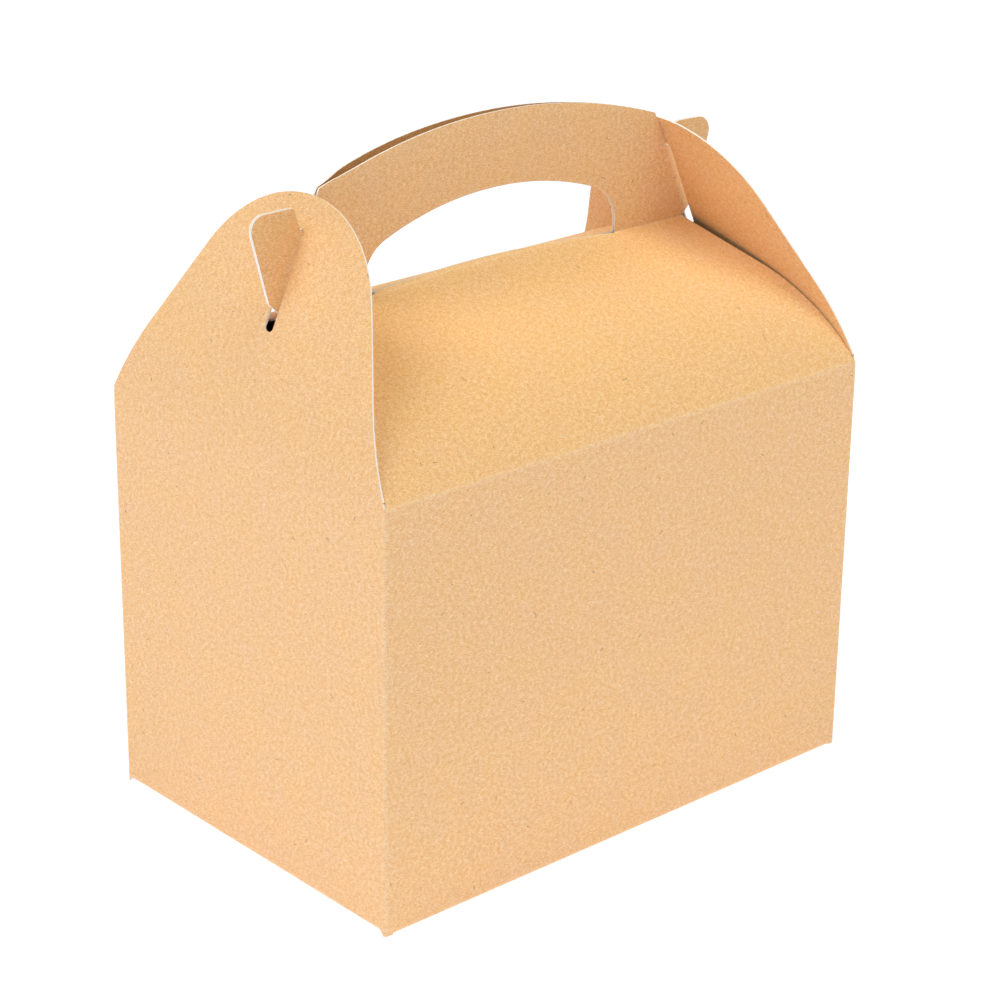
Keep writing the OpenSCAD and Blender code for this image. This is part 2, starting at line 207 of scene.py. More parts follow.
# The walls run round as one strip, from the free rear edge of the right end wall to the glue flap.
INSET = BOARD + GLUE_GAP
RIGHT_L = FREE_END + END_FLAT
LONG_L = 2 * FRONT_FLAT
LEFT_L = 2 * END_FLAT
ROUND = [(RIGHT_L, 0), (MID, -math.pi / 2), (LONG_L, 0), (MID, -math.pi / 2), (LEFT_L, 0),
         (MID, -math.pi / 2), (LONG_L - INSET, 0), (MID, -math.pi / 2), (GLUE_FLAP_W, 0)]


def wall_round(u):
    """Places and outward directions round the walls, on the middle of the board."""
    places, ways = run((HALF_L - BOARD / 2, FREE_END), -math.pi / 2, ROUND, u)
    return places, left(ways)


# U at the middle of each wall
RIGHT_U = FREE_END
FRONT_U = RIGHT_L + CORNER_L + FRONT_FLAT
LEFT_U = FRONT_U + FRONT_FLAT + CORNER_L + END_FLAT
REAR_U = LEFT_U + END_FLAT + CORNER_L + FRONT_FLAT
GLUE_U = REAR_U + FRONT_FLAT - INSET + CORNER_L


class Section:
    """Upright section of a wall with all that folds from it, as depth inward and height along v."""

    def __init__(self, crease_v, up, down=()):
        self.crease_v, self.up, self.down = crease_v, list(up), list(down)

    def __call__(self, v):
        start = (BOARD / 2, self.crease_v)
        above, _ = run(start, math.pi / 2, self.up, np.maximum(v - self.crease_v, 0))
        below, _ = run(start, -math.pi / 2, self.down, np.maximum(self.crease_v - v, 0))
        return np.where((v >= self.crease_v)[:, None], above, below)


def step(rise):
    """Steps of a run that lift the board by a rise, and how far they reach."""
    flat = (rise - 2 * STEP_R * (1 - math.cos(STEP_TURN))) / math.sin(STEP_TURN)
    reach = 2 * STEP_R * math.sin(STEP_TURN) + flat * math.cos(STEP_TURN)
    return [(STEP_R, STEP_TURN), (flat, 0), (STEP_R, -STEP_TURN)], reach


# Roof: a crease, a short flat, the bulge, a flat and the fold into the handle board
EAVE_TURN = math.pi / 2 - EAVE_SLOPE
EAVE_SETBACK = CREASE * math.tan(EAVE_TURN / 2)
ROOF_TURN = EAVE_SLOPE - RIDGE_SLOPE
BOARD_HALF = BOARD_SPREAD / 2
roof_lead = EAVE_SETBACK + ROOF_LEAD
roof_run = HALF_W - BOARD_HALF - BOARD - roof_lead * math.cos(EAVE_SLOPE)
roof_climb = RIDGE_Z - WALL_H - roof_lead * math.sin(EAVE_SLOPE)
ROOF_R = ((roof_climb - roof_run * math.tan(RIDGE_SLOPE))
          / (math.cos(RIDGE_SLOPE) - math.cos(EAVE_SLOPE)
             - (math.sin(EAVE_SLOPE) - math.sin(RIDGE_SLOPE)) * math.tan(RIDGE_SLOPE)))
roof_flat = (roof_run - ROOF_R * (math.sin(EAVE_SLOPE) - math.sin(RIDGE_SLOPE))) / math.cos(RIDGE_SLOPE)
RIDGE_TURN = math.pi / 2 - RIDGE_SLOPE
RIDGE_SETBACK = RIDGE_FOLD_R * math.tan(RIDGE_TURN / 2)
ridge_mid_r = RIDGE_FOLD_R + BOARD / 2

LIP_L = RIDGE_SETBACK + (BOARD_HALF + BOARD - LIP_GAP / 2) / math.cos(RIDGE_SLOPE)

EAVE_V = WALL_H - EAVE_SETBACK
BULGE_V = EAVE_V + MID * EAVE_TURN + ROOF_LEAD
FLAT_V = BULGE_V + (ROOF_R - BOARD / 2) * ROOF_TURN
RIDGE_V = FLAT_V + roof_flat - RIDGE_SETBACK
HANDLE_V = RIDGE_V + ridge_mid_r * RIDGE_TURN
ROOF_UP = [(EAVE_V - CREASE, 0), (MID, -EAVE_TURN), (ROOF_LEAD, 0), (ROOF_R - BOARD / 2, -ROOF_TURN),
           (roof_flat - RIDGE_SETBACK, 0), (ridge_mid_r, RIDGE_TURN)]

# Bottom flaps
LAYER = BOARD + LEAF_GAP
SLIT_FROM = FLAP_OVERLAP / 2 + LEAF_GAP
two_up, two_up_reach = step(2 * LAYER)
one_up, one_up_reach = step(LAYER)
LOW_END = SLIT_FROM + SLIT_L + SLIT_MARGIN + one_up_reach
quarter = (MID, math.pi / 2)
front_down = [quarter, (HALF_W + SLIT_FROM - CREASE, 0), *two_up]
rear_down = [quarter, (HALF_W - LOW_END - CREASE, 0), *one_up]
front_section = Section(CREASE, ROOF_UP, front_down)
rear_section = Section(CREASE, ROOF_UP, rear_down)
lip_section = Section(CREASE, ROOF_UP[:-1])
GABLE_UP = [(GABLE_R - BOARD / 2, -LEAN)]
end_section = Section(SIDE_FOOT, [(WALL_H - GABLE_DROP - SIDE_FOOT, 0), *GABLE_UP], [quarter])
corner_section = Section(0, [(WALL_H - GABLE_DROP, 0), *GABLE_UP])


def flap_v(crease_v, depth):
    """v of a point of a bottom flap, from its depth inward from the wall's face."""
    return crease_v - CORNER_L - (depth - CREASE)


# Gable: heights are measured along the leaning board from the wall top.
GABLE_TANGENT = GABLE_R * math.tan(LEAN / 2)
GABLE_FACE = (GABLE_TANGENT - GABLE_DROP) * math.sin(LEAN)
GABLE_BACK = GABLE_FACE - BOARD


def gable_x(depth, z):
    """X of a plane of the gable's frame at a height."""
    return HALF_L + (depth - (z - WALL_H) * math.sin(LEAN)) / math.cos(LEAN)


def gable_v(along):
    """v of a point of the gable, from its height along the leaning board."""
    v = np.linspace(WALL_H - 2 * GABLE_DROP, WALL_H + GABLE_L + COARSE, 400)
    depth, z = end_section(v).T
    return np.interp(along, depth * math.sin(LEAN) + (z - WALL_H) * math.cos(LEAN), v)


PINCH_END = GABLE_BACK - END_GAP - BOARD
PINCH_START = PINCH_END - PINCH_L
RIDGE_CORNER = gable_x(GABLE_BACK, RIDGE_Z) - RIDGE_GAP
NECK_Z = RIDGE_Z + NECK_RISE
SLOT_TO = (NECK_Z - WALL_H) / math.cos(LEAN) - GABLE_FACE * math.tan(LEAN) + SLOT_PLAY


def pinch(x, above, side):
    """Inward shift of a handle board towards the slots, at a height above the ridge."""
    depth = (np.abs(x) - HALF_L) * math.cos(LEAN) + (RIDGE_Z + above - WALL_H) * math.sin(LEAN)
    f = np.clip((depth - PINCH_START) / PINCH_L, 0, 1)
    share = np.where(f < 0.5, 2 * f * f, 1 - 2 * (1 - f) ** 2)
    return share * (BOARD_HALF - HOOK_SPREAD / 2 + side * np.where(x < 0, HOOK_LEAN, 0))


def place(u, v, section, weight=1.0):
    """Places of points of the blank, in millimetres, on the middle of the folded board."""
    base, outward = wall_round(u)
    depth, height = section(v).T
    depth = (depth - BOARD / 2) * weight
    height = v + (height - v) * weight
    return np.column_stack([base - outward * depth[:, None], height])


def place_long(u, v, section, side):
    """Places of points of a long wall with its roof panel and its handle board."""
    x = FRONT_U - u if side < 0 else u - REAR_U
    in_hole = np.abs(x) < HOLE_W / 2 - LIP_GAP / 2
    is_lip = in_hole & (np.abs(v - RIDGE_V) < 2 * LIP_L)
    points = np.where(is_lip[:, None], place(u, v, lip_section), place(u, v, section))
    above = np.maximum(v - HANDLE_V, 0)
    near_ridge = np.clip(1 - (RIDGE_V - v) / ROOF_FADE, 0, 1) ** 2
    past_ridge = np.clip((v - RIDGE_V) / LIP_L, 0, 1)
    closing = np.clip((x - CLOSE_FROM) / (CLOSE_TO - CLOSE_FROM), 0, 1)
    closing = (BOARD_HALF - CLOSED_SPREAD / 2) * closing**2 * (3 - 2 * closing)
    closing = closing * np.where(is_lip, 1 - past_ridge, 1)
    shift = np.maximum(pinch(x, above, side), closing) * near_ridge
    bow = BOW * np.clip(1 - (x / BOW_HALF) ** 2, 0, 1) ** 1.5
    risen = np.clip(above / PLAY_RISE, 0, 1)
    if side > 0:
        bulge = np.clip(1 - ((x - REAR_BULGE_X) / REAR_BULGE_HALF) ** 2, 0, 1) ** 2
        bow += REAR_BULGE * bulge * risen
    points[:, 1] += bow * near_ridge - side * shift
    points[:, 2] -= SAG * np.clip((x - SAG_FROM) / SAG_L, 0, SAG_MOST) ** 4 * risen
    points[:, 2] += shift * math.tan(RIDGE_SLOPE) * np.exp(-above / PINCH_RISE)
    hole_share = np.clip(1 - (x / (HOLE_W / 2)) ** 2, 0, 1) ** 1.5
    near_lip = np.clip(1 - (RIDGE_V - v) / LIFT_FADE, 0, 1) ** 2 * (is_lip | (v < RIDGE_V))
    points[:, 2] += LIP_LIFT * hole_share * near_lip
    return points


def arc(centre, radius, start, end, steps):
    """Points of an arc between two angles."""
    angles = np.linspace(start, end, steps + 1)
    return np.column_stack([centre[0] + radius * np.cos(angles), centre[1] + radius * np.sin(angles)])


def rounded(points, radii, steps=6):
    """Outline with rounded corners, one radius for each point."""
    points = np.array(points, float)
    out = []
    for i, (p, r) in enumerate(zip(points, radii)):
        if not r:
            out.append(p[None])
            continue
        a, b = (q - p for q in (points[i - 1], points[(i + 1) % len(points)]))
        a, b = a / np.linalg.norm(a), b / np.linalg.norm(b)
        half = math.acos(np.clip(a @ b, -1, 1)) / 2
        centre = p + (a + b) / np.linalg.norm(a + b) * r / math.sin(half)
        first, last = (p + w * r / math.tan(half) - centre for w in (a, b))
        turn = math.atan2(first[0] * last[1] - first[1] * last[0], first @ last)
        start = math.atan2(first[1], first[0])
        out.append(arc(centre, r, start, start + turn, steps))
    return np.vstack(out)


def mirrored(half):
    """Closed outline from its right half, which runs upwards."""
    half = np.array(half, float)
    return np.vstack([half, (half * [-1, 1])[::-1]])


def inside(points, ring):
    """Which points lie inside a closed outline."""
    x, y = points.T
    result = np.zeros(len(points), bool)
    for (x0, y0), (x1, y1) in zip(ring, np.roll(ring, -1, axis=0)):
        if y0 != y1:
            crosses = (y0 > y) != (y1 > y)
            result ^= crosses & (x < x0 + (y - y0) * (x1 - x0) / (y1 - y0))
    return result


def fill(outline, holes, lines_u, lines_v):
    """Triangles inside an outline, cut along mesh lines."""
    points, edges = [], []
    for ring in (outline, *holes):
        first, n = len(points), len(ring)
        points += [Vector(p) for p in ring]
        edges += [(first + i, first + (i + 1) % n) for i in range(n)]
    (u0, v0), (u1, v1) = outline.min(0) - 1, outline.max(0) + 1
    ends = [((u, v0), (u, v1)) for u in lines_u] + [((u0, v), (u1, v)) for v in lines_v]
    for pair in ends:
        edges.append((len(points), len(points) + 1))
        points += [Vector(p) for p in pair]
    found, _, faces, *_ = delaunay_2d_cdt(points, edges, [], 2, 1e-4, False)
    found = np.array([tuple(p) for p in found])
    faces = np.array([f for f in faces])
    middles = found[faces].mean(1)
    keep = inside(middles, outline)
    for hole in holes:
        keep &= ~inside(middles, hole)
    faces = faces[keep]
    used, faces = np.unique(faces, return_inverse=True)
    return found[used], faces.reshape(-1, 3)


def lines(start, end, spacing, exact=()):
    """Evenly spaced mesh lines with some exact ones, and no spaced line close to an exact one."""
    exact = np.array(sorted(exact), float)
    spaced = np.linspace(start, end, max(2, round((end - start) / spacing) + 1))
    if len(exact):
        near = np.abs(spaced[:, None] - exact[None]).min(1) < spacing / 3
        spaced = spaced[~near]
    return np.concatenate([spaced, exact])


def fold_lines(start, end, rows=6):
    """Mesh lines across a fold and close beside it."""
    beside = np.array([0.25, 0.6, 1.2])
    return [*(start - beside), *np.linspace(start, end, rows + 1), *(end + beside)]


def nearness(values, fold, width=0.55):
    """1 on a fold and 0 away from it."""
    return np.exp(-(((values - fold) / width) ** 2))


panels = []


def panel(centre, outline, holes, lines_u, lines_v, where, folds_u=(), folds_v=()):
    """Adds one panel of the blank, whose outline is drawn about U = centre."""
    flat, faces = fill(outline, holes, lines_u, lines_v)
    u, v = flat[:, 0] + centre, flat[:, 1]
    middle = where(u, v)
    tiny = 0.02
    across = where(u + tiny, v) - where(u - tiny, v)
    along = where(u, v + tiny) - where(u, v - tiny)
    normal = np.cross(along, across)
    normal /= np.linalg.norm(normal, axis=1)[:, None]
    fold = np.zeros(len(u))
    for f in folds_u:
        fold = np.maximum(fold, nearness(flat[:, 0], f))
    for f in folds_v:
        fold = np.maximum(fold, nearness(v, f))
    panels.append((middle, normal, np.column_stack([u, v]), fold, faces))


FLAP_V = CREASE - CORNER_L
SIDE_V = SIDE_FOOT - CORNER_L
EAVE_END_V = EAVE_V + MID * EAVE_TURN
GABLE_FOOT = WALL_H - GABLE_DROP
WALL_LINES = [*lines(4, 110, COARSE), CORNER_FOOT, SIDE_FOOT, CREASE, GABLE_FOOT, EAVE_V, WALL_H]
CORNER_SIDES = [1.4, 0.7, 0.25]


def hole_outline():
    """Hand hole: an arched top with round corners, and a foot that leaves a lip on the roof panel."""
    base = HANDLE_V - RIDGE_SETBACK
    corner_x = HOLE_W / 2 - HOLE_CORNER_R
    centre = base + HOLE_RISE - HOLE_ARCH_R
    corner_v = centre + math.sqrt((HOLE_ARCH_R - HOLE_CORNER_R) ** 2 - corner_x**2)
    aim = math.atan2(corner_v - centre, corner_x)
    lip_half = HOLE_W / 2 - LIP_GAP
    return mirrored([
        (lip_half - LIP_BEVEL, RIDGE_V + LIP_L),
        (lip_half, RIDGE_V),
        (HOLE_W / 2, RIDGE_V),
        *arc((corner_x, corner_v), HOLE_CORNER_R, 0, aim, 10),
        *arc((0, centre), HOLE_ARCH_R, aim, math.pi / 2, 14)[1:-1],
    ])


def handle_half():
    """Right edge of a handle board, from the ridge up over the hook to the middle of the arch."""
    foot = np.array([0, HANDLE_V - RIDGE_SETBACK - RIDGE_Z])
    corner = np.array([RIDGE_CORNER, RIDGE_Z + BOARD_HALF * math.tan(RIDGE_SLOPE)])
    toe_way = np.array([math.cos(TOE_ANGLE), math.sin(TOE_ANGLE)])
    toe = np.array([RIDGE_CORNER, RIDGE_Z]) + TOE_L * toe_way
    neck_in = gable_x(GABLE_BACK - END_GAP, NECK_Z)
    neck_out = gable_x(GABLE_FACE + END_GAP, NECK_Z)
    tip = gable_x(GABLE_FACE, NECK_Z) + HOOK_REACH
    head_z = NECK_Z + HEAD_RISE
    head_in_r = HEAD_R / 3
    head_in_x = neck_out + HEAD_BACK + head_in_r
    side_angle = math.atan2(head_z - toe[1], tip - toe[0]) - math.pi / 2
    end_angle = math.pi - math.atan2(HEAD_BACK, HEAD_RISE)
    end_x = gable_x(GABLE_BACK - END_GAP, NECK_Z + HEAD_RISE + HEAD_R)
    arch_z = RIDGE_Z + HANDLE_RISE - ARCH_R
    points = np.vstack([
        corner,
        toe,
        arc((tip - HEAD_R, head_z - HEAD_R), HEAD_R, side_angle, math.pi / 2, 8),
        arc((head_in_x, head_z - head_in_r), head_in_r, math.pi / 2, end_angle, 4),
        (neck_out, NECK_Z),
        (neck_in, NECK_Z),
        arc((0, arch_z), ARCH_R, math.acos(end_x / ARCH_R), math.pi / 2, 24)[:-1],
    ])
    return points + foot


def roof_edge():
    """Right edge of the roof panel, straight seen from above, from the eave to the ridge."""
    v = np.array([EAVE_END_V, *lines(BULGE_V, FLAT_V, 2 * FINE), RIDGE_V])
    depth = front_section(v)[:, 0]
    ridge_depth = HALF_W - BOARD_HALF - BOARD
    x = np.interp(depth, [CREASE, ridge_depth], [HALF_L - EAVE_GAP, RIDGE_CORNER])
    return np.column_stack([x, v])


def long_panel(centre, side, section):
    """Front or rear wall with its bottom flap, its roof panel and its handle board."""
    front = side < 0
    tip_depth = HALF_W + FLAP_OVERLAP / 2
    narrow = LONG_FOOT - LONG_FLAP_TAPER
    tip_v = flap_v(CREASE, tip_depth) if front else flap_v(CREASE, tip_depth) - 0.02
    flap = rounded([(0, tip_v), (narrow, tip_v), (LONG_FOOT, FLAP_V)], [0, FLAP_CORNER_R, 0])
    slits = []
    if front:
        end_v = flap_v(CREASE, HALF_W + SLIT_FROM + two_up_reach + TONGUE_L)
        tongue = rounded([(0, end_v), (TONGUE_W / 2 - TONGUE_TAPER, end_v), (TONGUE_W / 2, tip_v)],
                         [0, TONGUE_CORNER_R, 0])
        flap = np.vstack([tongue, flap[1:]])
    else:
        slit_from = SLIT_FROM - LEAF_GAP
        near, far = (flap_v(CREASE, HALF_W - x) for x in (slit_from, slit_from + SLIT_L))
        slits.append(mirrored([(TONGUE_W / 2 + SLIT_PLAY, near), (TONGUE_W / 2 + SLIT_PLAY, far)]))
    half = np.vstack([
        flap[1:],
        (LONG_FOOT, CREASE),
        (FRONT_FLAT, CREASE),
        (FRONT_FLAT, EAVE_V),
        roof_edge(),
        handle_half(),
    ])
    hook_v = [*lines(HANDLE_V + 1, HANDLE_V + HANDLE_RISE, FINE)]
    across = [
        *lines(-44, 44, COARSE),
        *(s * x for s in (-1, 1) for x in lines(45, 83, FINE)),
        *(s * x for s in (-1, 1) for x in (LONG_FOOT, *(FRONT_FLAT - b for b in CORNER_SIDES))),
    ]
    up = [
        *lines(flap_v(CREASE, HALF_W + 20), flap_v(CREASE, HALF_W - 20), FINE),
        *lines(flap_v(CREASE, HALF_W - 24), -3, COARSE),
        *fold_lines(FLAP_V, CREASE),
        *WALL_LINES,
        *fold_lines(EAVE_V, EAVE_END_V),
        *lines(BULGE_V, FLAT_V + 2, FINE),
        *lines(FLAT_V + 3, RIDGE_V - 2, 2 * FINE),
        *fold_lines(RIDGE_V, HANDLE_V),
        *hook_v,
    ]
    panel(centre, mirrored(half), [hole_outline(), *slits], across, up,
          lambda u, v: place_long(u, v, section, side),
          folds_u=(-FRONT_FLAT - CORNER_L / 2, FRONT_FLAT + CORNER_L / 2),
          folds_v=((FLAP_V + CREASE) / 2, (EAVE_V + EAVE_END_V) / 2, (RIDGE_V + HANDLE_V) / 2))


def slot_outline():
    """Slot for the two hooks, with bevelled corners."""
    half, low_v, high_v = SLOT_W / 2, gable_v(SLOT_FROM), gable_v(SLOT_TO)
    return mirrored([
        (half - SLOT_BEVEL, low_v),
        (half, low_v + SLOT_BEVEL),
        (half, high_v - SLOT_BEVEL),
        (half - SLOT_BEVEL, high_v),
    ])


crown_along = GABLE_L - CROWN_R
touch = math.atan2(-crown_along, HALF_W) + math.acos(CROWN_R / math.hypot(HALF_W, crown_along))
TOUCH = np.array([CROWN_R * math.cos(touch), crown_along + CROWN_R * math.sin(touch)])


def gable_side(y):
    """v of the gable's straight side at a distance from the middle of the wall."""
    return float(gable_v(TOUCH[1] * (HALF_W - y) / (HALF_W - TOUCH[0])))


def end_panel(centre, free_edge):
    """End wall with its bottom flap and its gable. The right one ends in a free rear edge."""
    tip_v = flap_v(SIDE_FOOT, SIDE_FLAP_L)
    crown = arc((0, crown_along), CROWN_R, touch, math.pi / 2, 30)
    flap = rounded([(0, tip_v), (SIDE_FOOT_W - SIDE_FLAP_TAPER, tip_v), (SIDE_FOOT_W, SIDE_V)],
                   [0, FLAP_CORNER_R, 0])[1:]
    gable = np.column_stack([crown[:, 0], gable_v(crown[:, 1])])
    right = [*flap, (SIDE_FOOT_W, SIDE_FOOT), (END_FLAT, SIDE_FOOT),
             (END_FLAT, gable_side(END_FLAT)), *gable[:-1]]
    left_side = right
    if free_edge:
        left_side = [*flap, (SIDE_FOOT_W, SIDE_FOOT), (END_FLAT, CORNER_FOOT), (FREE_END, CORNER_FOOT),
                     (FREE_END, gable_side(FREE_END)), *gable[:-1]]
    outline = np.vstack([right, [(0, gable[-1][1])], (np.array(left_side) * [-1, 1])[::-1]])
    across = [
        *lines(-54, 54, COARSE),
        *(s * x for s in (-1, 1) for x in (SIDE_FOOT_W, *(END_FLAT - b for b in CORNER_SIDES))),
    ]
    up = [
        *lines(tip_v, -2, COARSE),
        *fold_lines(SIDE_V, SIDE_FOOT),
        *WALL_LINES,
        *lines(GABLE_FOOT - 1, WALL_H + 28, FINE),
        *lines(WALL_H + 30, WALL_H + GABLE_L, 2 * FINE),
    ]
    panel(centre, outline, [slot_outline()], across, up, lambda u, v: place(u, v, end_section),
          folds_u=(-END_FLAT - CORNER_L / 2, END_FLAT + CORNER_L / 2),
          folds_v=((SIDE_V + SIDE_FOOT) / 2,))


def corner_strip(start, end_first):
    """Upright crease between an end wall and a long wall, drawn from the crease's first flat edge."""
    across = np.linspace(0, CORNER_L, 7)
    end_top = gable_side(END_FLAT)
    end_foot = SIDE_FOOT_W - END_FLAT
    long_foot = LONG_FOOT - FRONT_FLAT
    outline = np.array([
        (CORNER_L - long_foot, CREASE), (CORNER_L - long_foot, CORNER_FOOT), (0, CORNER_FOOT),
        (end_foot, SIDE_FOOT), (0, SIDE_FOOT), (0, end_top), (CORNER_L, WALL_H), (CORNER_L, CREASE),
    ])[::-1]
    if not end_first:
        outline = (outline * [-1, 1] + [CORNER_L, 0])[::-1]

    def where(u, v):
        share = np.clip((u - start) / CORNER_L, 0, 1)
        weight = 1 - share if end_first else share
        return place(u, v, corner_section, weight)

    beside = [c for b in CORNER_SIDES for c in (-b, CORNER_L + b)]
    up = [*WALL_LINES, *lines(GABLE_FOOT - 1, WALL_H + 2, FINE)]
    panel(start, outline, [], [*across, *beside], up, where, folds_u=(CORNER_L / 2,))


def seam():
    """The rear right crease and the glue flap, which lies inside the right end wall."""
    foot_v = SIDE_FOOT + CREASE
    top_v = WALL_H - GABLE_DROP
    start = GLUE_U - CORNER_L
    flap_end = CORNER_L + GLUE_FLAP_W
    long_foot = LONG_FOOT - FRONT_FLAT
    outline = np.array([
        (long_foot, CREASE), (long_foot, CORNER_FOOT), (CORNER_L, CORNER_FOOT), (CORNER_L, foot_v),
        (flap_end, foot_v + GLUE_BEVEL), (flap_end, top_v - GLUE_BEVEL),
        (CORNER_L, top_v), (0, WALL_H), (0, CREASE),
    ])
    panel(start, outline, [], [*np.linspace(0, CORNER_L, 7), *lines(3, flap_end, COARSE)], WALL_LINES,
          lambda u, v: place(u, v, corner_section, 0.0), folds_u=(CORNER_L / 2,))


def fold_blank():
    """The whole blank as one welded mesh on the middle of the board: its points, their normals, places on
    the flat blank and folds, and its triangles.
    """
    end_panel(RIGHT_U, True)
    corner_strip(RIGHT_L, True)
    long_panel(FRONT_U, -1, front_section)
    corner_strip(FRONT_U + FRONT_FLAT, False)
    end_panel(LEFT_U, False)
    corner_strip(LEFT_U + END_FLAT, True)
    long_panel(REAR_U, 1, rear_section)
    seam()

    middle, normal, flat, fold, faces = [], [], [], [], []
    count = 0
    for m, n, f, c, t in panels:
        middle.append(m), normal.append(n), flat.append(f), fold.append(c), faces.append(t + count)
        count += len(m)
    middle, normal, flat = np.vstack(middle), np.vstack(normal), np.vstack(flat)
    fold, faces = np.concatenate(fold), np.vstack(faces)

    keep, index = weld(middle, 2e-3)
    middle, normal, flat, fold = middle[keep], normal[keep], flat[keep], fold[keep]
    faces = index[faces]
    good = (faces[:, 0] != faces[:, 1]) & (faces[:, 1] != faces[:, 2]) & (faces[:, 0] != faces[:, 2])
    return middle, normal, flat, fold, faces[good]


def weld(points, reach):
    """Merges points that lie within reach: which points to keep, and each point's new index."""
    tree = KDTree(len(points))
    for i, p in enumerate(points):
        tree.insert(p, i)
    tree.balance()
    first = np.arange(len(points))
    for i, p in enumerate(points):
        first[i] = min(j for _, j, _ in tree.find_range(p, reach))
    first = first[first]
    keep, index = np.unique(first, return_inverse=True)
    return keep, index


def board_mesh(name):
    """Mesh of the folded board, with its place on the flat blank and its folds kept as attributes."""
    middle, normal, flat, fold, faces = fold_blank()
    n = len(middle)
    pairs = np.sort(np.vstack([faces[:, [0, 1]], faces[:, [1, 2]], faces[:, [2, 0]]]), axis=1)
    directed = np.vstack([faces[:, [0, 1]], faces[:, [1, 2]], faces[:, [2, 0]]])
    _, back, uses = np.unique(pairs, axis=0, return_inverse=True, return_counts=True)
    rim = directed[uses[back.ravel()] == 1]

    out = np.zeros((n, 3))
    for a, b in rim:
        away = np.cross(normal[a], middle[b] - middle[a])
        away /= max(np.linalg.norm(away), 1e-9)
        out[a] += away
        out[b] += away
    rim_points = np.unique(rim)
    length = np.linalg.norm(out[rim_points], axis=1)[:, None]
    swell = middle[rim_points] + out[rim_points] / np.maximum(length, 1e-9) * EDGE_SWELL
    rim_index = np.full(n, -1)
    rim_index[rim_points] = 2 * n + np.arange(len(rim_points))

    half = normal * BOARD / 2
    verts = np.vstack([middle + half, middle - half, swell]) * MM
    outer, inner = faces[:, ::-1], faces + n
    a, b = rim.T
    ma, mb = rim_index[a], rim_index[b]
    sides = np.vstack([np.column_stack([a, b, mb, ma]), np.column_stack([ma, mb, b + n, a + n])])
    mesh = bpy.data.meshes.new(name)
    mesh.from_pydata(verts.tolist(), [], [*outer.tolist(), *inner.tolist(), *sides.tolist()])
    slots = np.repeat([0, 1], [2 * len(faces), len(sides)]).astype(np.int32)
    mesh.polygons.foreach_set("material_index", slots)
    mesh.polygons.foreach_set("use_smooth", np.ones(len(mesh.polygons), bool))

    layers = np.repeat([0.0, 40.0, 20.0], [n, n, len(rim_points)])
    sheet = np.column_stack([np.vstack([flat, flat, flat[rim_points]]), layers]).astype(np.float32)
    mesh.attributes.new("sheet", "FLOAT_VECTOR", "POINT").data.foreach_set("vector", sheet.ravel())
    creases = np.concatenate([fold, fold, fold[rim_points]]).astype(np.float32)
    mesh.attributes.new("fold", "FLOAT", "POINT").data.foreach_set("value", creases)

    rim_set = {tuple(sorted(p)) for p in rim.tolist()}
    sharp = np.zeros(len(mesh.edges), bool)
    ends = np.zeros(2 * len(mesh.edges), np.int32)
    mesh.edges.foreach_get("vertices", ends)
    for i, (p, q) in enumerate(ends.reshape(-1, 2).tolist()):
        if p < 2 * n and q < 2 * n and (p < n) == (q < n):
            sharp[i] = tuple(sorted((p % n, q % n))) in rim_set
    mesh.attributes.new("sharp_edge", "BOOLEAN", "EDGE").data.foreach_set("value", sharp)
    mesh.validate()
    mesh.update()
    return mesh


class Shader:
    """Short hand for building a material's nodes."""

    def __init__(self, name):
        self.material = bpy.data.materials.new(name)
        self.material.use_nodes = True
        self.tree = self.material.node_tree
        self.tree.nodes.clear()

    def node(self, kind, inputs=None, **settings):
        made = self.tree.nodes.new("ShaderNode" + kind)
        for key, value in settings.items():
            setattr(made, key, value)
        for key, value in (inputs or {}).items():
            socket = made.inputs[key]
            if isinstance(value, bpy.types.NodeSocket):
                self.tree.links.new(value, socket)
            else:
                socket.default_value = value
        return made

    def math(self, operation, a, b=0.0, c=0.0, clamp=False):
        return self.node("Math", {0: a, 1: b, 2: c}, operation=operation, use_clamp=clamp).outputs[0]

    def mix(self, share, a, b, blend="MIX"):
        made = self.node("Mix", {0: share}, data_type="RGBA", blend_type=blend)
        for socket, value in ((made.inputs[6], a), (made.inputs[7], b)):
            if isinstance(value, bpy.types.NodeSocket):
                self.tree.links.new(value, socket)
            else:
                socket.default_value = (*value, 1)
        return made.outputs[2]

    def noise(self, vector, scale, detail=2.0, roughness=0.5):
        settings = {"Vector": vector, "Scale": scale, "Detail": detail, "Roughness": roughness}
        return self.node("TexNoise", settings).outputs["Fac"]

    def mapped(self, vector, turn=0.0, scale=(1, 1, 1), shift=(0, 0, 0)):
        return self.node("Mapping", {"Vector": vector, "Rotation": (0, 0, turn), "Scale": scale,
                                     "Location": shift}, vector_type="POINT").outputs[0]

    def spread(self, value, low, high, to_low=0.0, to_high=1.0):
        ends = {"From Min": low, "From Max": high, "To Min": to_low, "To Max": to_high}
        return self.node("MapRange", {"Value": value, **ends}, interpolation_type="SMOOTHSTEP").outputs[0]


